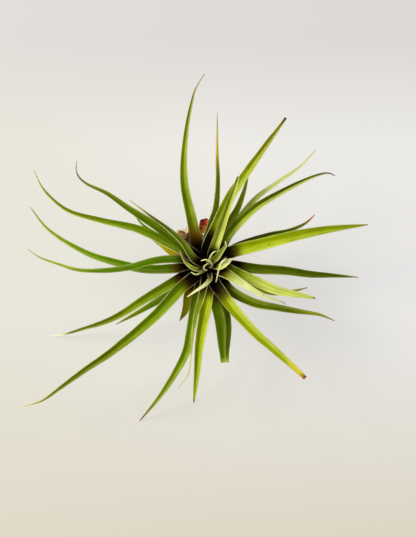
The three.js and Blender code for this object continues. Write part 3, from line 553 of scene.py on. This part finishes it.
def set_facts(mesh, facts, skin):
    """Keep each point's colour, and where it lies on the blade, for the material to use."""
    tones, rows = [], []
    low, high = skin["dark"]
    right, left = skin["margins"]
    for s, t, rim, along, radius, face in facts:
        # How far each point is out of the dark sheath, whose dark is its own colour deepened by painted
        # shade.
        beyond = smoothstep(s, skin["dark_to"] - DARK_FADE, skin["dark_to"])
        clear_of_dark = smoothstep(radius, low, high) * beyond
        hem = smoothstep(radius, low * HEM_FROM, low * HEM_FULL) * beyond
        tones.extend((*skin_colour(skin, s, t, clear_of_dark), 1))
        rows.append((t, rim, along, (right if t < 0 else left) * hem, 1.0 if face > 0 else 0.0, clear_of_dark))
    mesh.attributes.new("tone", "FLOAT_COLOR", "POINT").data.foreach_set("color", tones)
    for key, numbers in zip(FACTS, zip(*rows)):
        mesh.attributes.new(key, "FLOAT", "POINT").data.foreach_set("value", numbers)


def finish_piece(mesh, name, look):
    work = bmesh.new()
    work.from_mesh(mesh)
    bmesh.ops.recalc_face_normals(work, faces=work.faces)
    work.to_mesh(mesh)
    work.free()
    mesh.polygons.foreach_set("use_smooth", [True] * len(mesh.polygons))
    piece = bpy.data.objects.new(name, mesh)
    bpy.context.scene.collection.objects.link(piece)
    mesh.materials.append(LOOKS[look])
    return piece


class Nodes:
    """A short way to write a material's nodes."""

    def __init__(self, name):
        self.material = bpy.data.materials.new(name)
        self.material.use_nodes = True
        self.tree = self.material.node_tree
        self.shader = self.tree.nodes["Principled BSDF"]

    def add(self, kind, **values):
        node = self.tree.nodes.new("ShaderNode" + kind)
        for key, value in values.items():
            setattr(node, key, value)
        return node

    def link(self, source, target):
        self.tree.links.new(source, target)

    def set(self, **values):
        """Set the shader's own sockets: the words of a socket's name are joined by underscores."""
        for key, value in values.items():
            self.shader.inputs[key.replace("_", " ")].default_value = value

    def fact(self, name):
        return self.add("Attribute", attribute_name=name).outputs["Fac"]

    def skin_tone(self):
        return self.add("Attribute", attribute_name="tone").outputs["Color"]

    def place(self):
        return self.add("TexCoord").outputs["Object"]

    def distance(self, place):
        node = self.add("VectorMath", operation="LENGTH")
        self.link(place, node.inputs[0])
        return node.outputs["Value"]

    def noise(self, vector, scale, detail=3.0, rough=0.55):
        node = self.add("TexNoise")
        node.inputs["Scale"].default_value = scale
        node.inputs["Detail"].default_value = detail
        node.inputs["Roughness"].default_value = rough
        self.link(vector, node.inputs["Vector"])
        return node.outputs["Fac"]

    def span(self, value, low, high, to_low=0.0, to_high=1.0):
        """How far the value is from low to high, and no further, as a number from to_low to to_high."""
        node = self.add("MapRange")
        self.link(value, node.inputs["Value"])
        for key, number in (("From Min", low), ("From Max", high), ("To Min", to_low), ("To Max", to_high)):
            node.inputs[key].default_value = number
        return node.outputs["Result"]

    def math(self, operation, first, second):
        node = self.add("Math", operation=operation)
        for i, value in enumerate((first, second)):
            if isinstance(value, (int, float)):
                node.inputs[i].default_value = value
            else:
                self.link(value, node.inputs[i])
        return node.outputs["Value"]

    def times(self, first, second):
        return self.math("MULTIPLY", first, second)

    def plus(self, first, second):
        return self.math("ADD", first, second)

    def gain(self, colour, factor):
        node = self.add("VectorMath", operation="SCALE")
        self.link(colour, node.inputs[0])
        self.link(factor, node.inputs["Scale"])
        return node.outputs["Vector"]

    def mix(self, factor, first, second):
        """The first colour, or the second one where the factor is 1. Either is a link or a fixed colour."""
        node = self.add("Mix", data_type="RGBA")
        self.link(factor, node.inputs["Factor"])
        sockets = [socket for socket in node.inputs if socket.type == "RGBA"]
        for socket, value in zip(sockets, (first, second)):
            if isinstance(value, Vector):
                socket.default_value = (*value, 1)
            else:
                self.link(value, socket)
        return next(socket for socket in node.outputs if socket.type == "RGBA")

    def grain(self, across, along):
        """A coordinate that is long and narrow along the blade, for fibres."""
        node = self.add("CombineXYZ")
        self.link(self.times(self.fact("across"), across), node.inputs["X"])
        self.link(self.times(self.fact("along_mm"), along), node.inputs["Y"])
        return node.outputs["Vector"]

    def bump(self, height, strength, distance):
        node = self.add("Bump")
        node.inputs["Strength"].default_value = strength
        node.inputs["Distance"].default_value = distance
        self.link(height, node.inputs["Height"])
        self.link(node.outputs["Normal"], self.shader.inputs["Normal"])


# In the looks, the scale of a noise counts its features to a metre, and of a grain to one of its own units.
BLOT, GLINT = tone(44, 10, 6), tone(246, 176, 96)
CORE_BARK = tone(30, 16, 10)


def leaf_look(name, rough, shine, scurf, edge_mm):
    """Satin leaf skin: lengthwise fibres, soft mottling, flecks, a scurf of pale scales, a pale margin."""
    n = Nodes(name)
    place = n.place()
    fibres = n.noise(n.grain(across=1.1, along=0.012), scale=2.4, detail=5, rough=0.7)
    fine = n.noise(n.grain(across=16, along=0.09), scale=2.6, detail=3, rough=0.6)
    mottle = n.noise(place, scale=90)
    scales = n.noise(place, scale=2600, detail=2, rough=0.7)
    clear_of_dark = n.fact("clear_of_dark")
    colour = n.gain(n.skin_tone(), n.span(fibres, 0.35, 0.65, 0.8, 1.34))
    colour = n.gain(colour, n.span(mottle, 0.3, 0.7, 0.88, 1.1))
    colour = n.mix(n.span(n.noise(place, scale=420, detail=2), 0.68, 0.74, 0, 0.6), colour, UMBER)
    colour = n.mix(n.times(n.span(scales, 0.5, 0.72, 0, scurf), clear_of_dark), colour, SCURF)
    colour = n.mix(n.times(n.times(n.fact("belly"), 0.25), clear_of_dark), colour, PALE_LIME)
    edge = n.span(n.fact("rim_mm"), edge_mm * 0.55, edge_mm * 1.25, 1, 0)
    edge = n.times(edge, n.fact("margin"))
    edge = n.times(edge, n.span(fine, 0.3, 0.6, 0.6, 1))
    edge = n.times(edge, n.span(n.noise(place, scale=60, detail=2), 0.36, 0.56, 0.35, 1))
    n.link(n.mix(edge, colour, HEM), n.shader.inputs["Base Color"])
    n.link(n.span(fibres, 0.3, 0.7, rough - 0.08, rough + 0.12), n.shader.inputs["Roughness"])
    n.bump(n.plus(n.times(fine, 0.7), n.times(scales, 0.3)), strength=0.35, distance=0.0002)
    n.set(Subsurface_Weight=0.08, Subsurface_Scale=0.0012, Subsurface_Radius=(0.6, 1.0, 0.2))
    n.set(Specular_IOR_Level=shine, Specular_Tint=(0.8, 0.9, 0.25, 1))
    return n.material


def husk_look(name):
    """Dry papery husk: coarse torn fibres with dark blots and bright glints, matt."""
    n = Nodes(name)
    place = n.place()
    fibres = n.noise(n.grain(across=9, along=0.12), scale=3, detail=4, rough=0.65)
    blots = n.noise(place, scale=330, detail=4, rough=0.6)
    glints = n.noise(place, scale=520, detail=3, rough=0.6)
    colour = n.gain(n.skin_tone(), n.span(fibres, 0.3, 0.7, 0.6, 1.5))
    colour = n.mix(n.span(blots, 0.53, 0.6, 0, 0.9), colour, BLOT)
    colour = n.mix(n.span(glints, 0.6, 0.66, 0, 0.85), colour, GLINT)
    n.link(colour, n.shader.inputs["Base Color"])
    n.set(Roughness=0.65)
    n.bump(n.plus(fibres, blots), strength=0.8, distance=0.0005)
    return n.material


def bark_look(name, dark, light, scale, core):
    """Rough fibrous skin for stem and roots, darkest within the core, in metres from the pad's middle."""
    n = Nodes(name)
    place = n.place()
    coarse = n.noise(place, scale, detail=5, rough=0.65)
    fine = n.noise(place, scale * 6, detail=3, rough=0.6)
    colour = n.mix(n.span(coarse, 0.35, 0.65), dark, light)
    colour = n.gain(colour, n.span(fine, 0.3, 0.7, 0.7, 1.25))
    colour = n.mix(n.span(n.distance(place), core, core * 1.4, 0.85, 0), colour, CORE_BARK)
    n.link(colour, n.shader.inputs["Base Color"])
    n.set(Roughness=0.85)
    n.bump(n.plus(coarse, fine), strength=0.7, distance=0.0006)
    return n.material


# The card's glow, round its middle and far out, and then the tones that it takes on along an axis: from
# where to where, in metres, each one comes in.
CARD_TONE = tone(134, 134, 133)
NEAR_GLOW, FAR_GLOW, NEAR, FAR = tone(184, 182, 178), tone(174, 173, 173), 0.06, 0.3
SIDE_GLOWS = [
    ("X", 0.02, -0.16, tone(172, 171, 158)),
    ("X", 0.02, 0.14, tone(181, 180, 180)),
    ("Y", 0.07, 0.15, tone(164, 160, 159)),
    ("Y", -0.06, -0.22, tone(166, 159, 142)),
]


def floor_look():
    """Plain pale card with a glow of its own, warmer to the left and below, and greyer above the plant."""
    n = Nodes("pale_card")
    place = n.place()
    glow = n.mix(n.span(n.distance(place), NEAR, FAR), NEAR_GLOW, FAR_GLOW)
    axes = n.add("SeparateXYZ")
    n.link(place, axes.inputs["Vector"])
    for axis, start, full, side_glow in SIDE_GLOWS:
        glow = n.mix(n.span(axes.outputs[axis], start, full), glow, side_glow)
    n.link(glow, n.shader.inputs["Emission Color"])
    n.set(Base_Color=(*CARD_TONE, 1), Emission_Strength=1, Roughness=0.9, Specular_IOR_Level=0.1)
    n.bump(n.noise(place, scale=900, detail=2), strength=0.08, distance=0.0001)
    return n.material


LOOKS = {
    "leaf": leaf_look("satin_leaf", rough=0.42, shine=0.12, scurf=0.03, edge_mm=0.5),
    "young": leaf_look("scaly_young_leaf", rough=0.5, shine=0.35, scurf=0.4, edge_mm=0.8),
    "torn": husk_look("papery_husk"),
    "bark": bark_look("stem_bark", tone(34, 20, 14), tone(96, 66, 40), scale=240, core=0.008),
    "root": bark_look("root_skin", tone(180, 120, 66), tone(248, 226, 190), scale=420, core=0.0054),
    "floor": floor_look(),
}


def closed_skins(name, skins, look):
    """One piece of closed skins, each through rings of points that all have the same count."""
    points, faces = [], []
    for rings in skins:
        first, size = len(points), len(rings[0])
        points.extend(p * MM for ring in rings for p in ring)
        faces += wall_faces(first, size, len(rings) - 1)
        faces.append(tuple(first + i for i in reversed(range(size))))
        faces.append(tuple(first + (len(rings) - 1) * size + i for i in range(size)))
    mesh = bpy.data.meshes.new(name)
    mesh.from_pydata(points, [], faces)
    return finish_piece(mesh, name, look)


# The stem's foot leans from the root pad to the crown. Each of its stops is x, y, z and a radius. Above it
# the core stands upright inside the sheaths, and its stops are heights over the crown's foot.
FOOT = [(0.8, -1.5, 3.3, 7.4), (3.6, -6.5, 7, 9.2), (8.4, -15, 11, 10.6)]
CORE_STOPS = [SHEATH_HEIGHT, 12, 18, 24, 31]
CORE_CLEARANCE = 0.8
STEM_STEPS = 9
STEM_SIDES = 72

# The scars' depth, how fast they follow each other up the stem, and how they waver round it. Then the
# bark's roughness, how far it may stand out, and its grain round and up the stem.
SCAR_DEPTH, SCAR_RATE = 0.3, 1.05
WAVER, WAVER_LOBES, WAVER_TWIST = 1.2, 3, 0.4
BARK_ROUGH, BARK_MOST = 0.35, 0.12
BARK_ROUND, BARK_UP = 4, 0.5


def stem_piece():
    """The leaning stem, with the scars of fallen leaves ringing it."""
    stops = list(FOOT)
    for z in CORE_STOPS:
        radius = SHEATH_RADIUS - (z - SHEATH_HEIGHT) * RANK_RADIUS / RANK_HEIGHT - CORE_CLEARANCE
        stops.append((CROWN.x, CROWN.y, CROWN.z + z, radius))
    rings = []
    for low, high in zip(stops, stops[1:]):
        last = high is stops[-1]
        for i in range(STEM_STEPS + (1 if last else 0)):
            x, y, z, radius = [lerp(a, b, i / STEM_STEPS) for a, b in zip(low, high)]
            ring = []
            for k in range(STEM_SIDES):
                turn = 2 * math.pi * k / STEM_SIDES
                waver = WAVER * math.sin(turn * WAVER_LOBES + z * WAVER_TWIST)
                scar = SCAR_DEPTH * abs(math.sin(z * SCAR_RATE + waver))
                grain = (math.cos(turn) * BARK_ROUND, math.sin(turn) * BARK_ROUND, z * BARK_UP)
                r = radius - scar + min(BARK_ROUGH * noise.noise(grain), BARK_MOST)
                ring.append(Vector((x + r * math.cos(turn), y + r * math.sin(turn), z)))
            rings.append(ring)
    return closed_skins("stem_fine", [rings], "bark")


# The wiry roots. They start inside the pad and reach furthest behind, on the side that the stem leans away
# from.
ROOT_SEED = 11
ROOT_COUNT = 64
BEHIND = math.radians(152)
ROOT_START, ROOT_SHORT, ROOT_LONG, ROOT_BEHIND = 4.5, 7.4, 8.4, 5.6
ROOT_BEND = 0.6
ROOT_RADII = (0.34, 0.66)
ROOT_TIP = 0.45
ROOT_ARCH = 1.1
ROOT_LIFT = (0.6, 2.3)
ROOT_PHASES = 6
ROOT_SWAY, ROOT_SWAYS = 0.07, 7
ROOT_CLEAR, ROOT_TOP = 0.03, 2.95
ROOT_STEPS = 16
ROOT_SIDES = 8


def wiry_root(rng):
    """One wiry root that creeps out from the pad along the surface."""
    turn = rng.uniform(0, 2 * math.pi)
    behind = max(0.0, math.cos(turn - BEHIND))
    far = rng.uniform(ROOT_SHORT, ROOT_LONG + ROOT_BEHIND * behind ** 3)
    bend = rng.uniform(-ROOT_BEND, ROOT_BEND)
    thick = rng.uniform(*ROOT_RADII)
    arch = rng.uniform(0, ROOT_ARCH)
    lift = rng.uniform(*ROOT_LIFT)
    phase = rng.uniform(0, ROOT_PHASES)
    spine = []
    for i in range(ROOT_STEPS + 1):
        share = i / ROOT_STEPS
        angle = turn + bend * share + ROOT_SWAY * math.sin(phase + ROOT_SWAYS * share)
        radius = thick * lerp(1, ROOT_TIP, share)
        z = radius + ROOT_CLEAR + arch * math.sin(math.pi * share) + lift * (1 - share) ** 1.5
        out = lerp(ROOT_START, far, share)
        spine.append((Vector((out * math.cos(angle), out * math.sin(angle), z)), radius))
    rings = []
    for i, (centre, radius) in enumerate(spine):
        along = (spine[min(i + 1, ROOT_STEPS)][0] - spine[max(i - 1, 0)][0]).normalized()
        right = Vector((0, 0, 1)).cross(along).normalized()
        up = along.cross(right)
        ring = []
        for k in range(ROOT_SIDES):
            a = 2 * math.pi * k / ROOT_SIDES
            point = centre + right * (radius * math.cos(a)) + up * (radius * math.sin(a))
            point.z = min(point.z, ROOT_TOP)
            ring.append(point)
        rings.append(ring)
    return rings


# The pad's profile as radii and heights, the heights between which its side is rough, and how rough it is.
PAD_PROFILE = [(0.4, 0.0), (6.5, 0.0), (7.3, 0.4), (7.55, 1.1), (7.5, 2.0), (7.0, 2.7), (6.0, 2.95),
               (3.0, 2.98), (0.4, 2.98)]
PAD_SIDES = 60
PAD_SIDE_FROM, PAD_SIDE_TO = 0.3, 2.8
PAD_ROUGH, PAD_MOST, PAD_GRAIN = 0.3, 0.05, 3


def root_pad():
    """The matted pad that the roots spread from, flat where it rests."""
    rings = []
    for radius, z in PAD_PROFILE:
        ring = []
        for k in range(PAD_SIDES):
            turn = 2 * math.pi * k / PAD_SIDES
            rough = noise.noise((math.cos(turn) * PAD_GRAIN, math.sin(turn) * PAD_GRAIN, z)) * PAD_ROUGH
            r = radius + (min(rough, PAD_MOST) if PAD_SIDE_FROM < z < PAD_SIDE_TO else 0)
            ring.append(Vector((r * math.cos(turn), r * math.sin(turn), z)))
        rings.append(ring)
    return rings


def carry(piece, node):
    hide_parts(node)
    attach(piece, "root")


def build_plant():
    for table, rings, look in ((LEAVES, LEAF_RINGS, "leaf"), (YOUNG_LEAVES, YOUNG_RINGS, "young"),
                               (DRY_SHEATHS, HUSK_RINGS, "torn")):
        for name, leaf in table.items():
            carry(blade(name, leaf, rings, look), name)
    carry(stem_piece(), "stem")
    rng = random.Random(ROOT_SEED)
    roots = closed_skins("roots_fine", [root_pad()] + [wiry_root(rng) for _ in range(ROOT_COUNT)], "root")
    carry(roots, "roots")


# The camera looks straight down, as the photograph does. At the height of the leaves over the crown's foot,
# one pixel is 0.735 mm. CENTRE_OFFSET is the middle of the picture, in pixels from the crown's axis.
CAMERA_HEIGHT = 1500
LEAF_HEIGHT = 48
MM_PER_PIXEL = 0.735
CENTRE_OFFSET = (-1.0, -2.5)
IMAGE_HEIGHT = 537
SENSOR = 36
CLIP_END_M = 20


def set_camera():
    data = bpy.data.cameras.new("camera")
    camera = bpy.data.objects.new("camera", data)
    bpy.context.scene.collection.objects.link(camera)
    x = CROWN.x + CENTRE_OFFSET[0] * MM_PER_PIXEL
    y = CROWN.y + CENTRE_OFFSET[1] * MM_PER_PIXEL
    camera.location = Vector((x, y, CAMERA_HEIGHT)) * MM
    camera.rotation_euler = (0, 0, 0)
    data.sensor_fit = "VERTICAL"
    data.sensor_height = SENSOR
    data.lens = (CAMERA_HEIGHT - LEAF_HEIGHT) / MM_PER_PIXEL * SENSOR / IMAGE_HEIGHT
    data.clip_end = CLIP_END_M
    bpy.context.scene.camera = camera


# The studio, in metres and watts: a warm key light from the upper left, a weak fill opposite it, and a pale
# sky.
FLOOR_SIZE = 8
SKY, SKY_STRENGTH = (1, 0.995, 0.98, 1), 0.5
LIT_POINT = Vector((0, 0, 0.03))
LIGHTS = {
    "key": dict(place=(-1.9, 0.9, 1.5), size=1.2, power=60, colour=(1, 0.975, 0.9)),
    "fill": dict(place=(1.5, -1.2, 2.2), size=1.6, power=8, colour=(0.98, 0.99, 1)),
}


def area_light(name, place, size, power, colour):
    data = bpy.data.lights.new(name, "AREA")
    data.shape = "DISK"
    data.size = size
    data.energy = power
    data.color = colour
    light = bpy.data.objects.new(name, data)
    light.location = place
    light.rotation_euler = (Vector(place) - LIT_POINT).to_track_quat("Z", "Y").to_euler()
    bpy.context.scene.collection.objects.link(light)


def set_studio():
    bpy.ops.mesh.primitive_plane_add(size=FLOOR_SIZE)
    floor = bpy.context.object
    floor.name = "floor"
    floor.data.materials.append(LOOKS["floor"])
    world = bpy.data.worlds.new("studio")
    world.use_nodes = True
    sky = world.node_tree.nodes["Background"]
    sky.inputs["Color"].default_value = SKY
    sky.inputs["Strength"].default_value = SKY_STRENGTH
    bpy.context.scene.world = world
    for name, light in LIGHTS.items():
        area_light(name, **light)
    bpy.context.scene.view_settings.view_transform = "Standard"
    bpy.context.scene.view_settings.look = "Medium High Contrast"


set_camera()
set_studio()
build_plant()
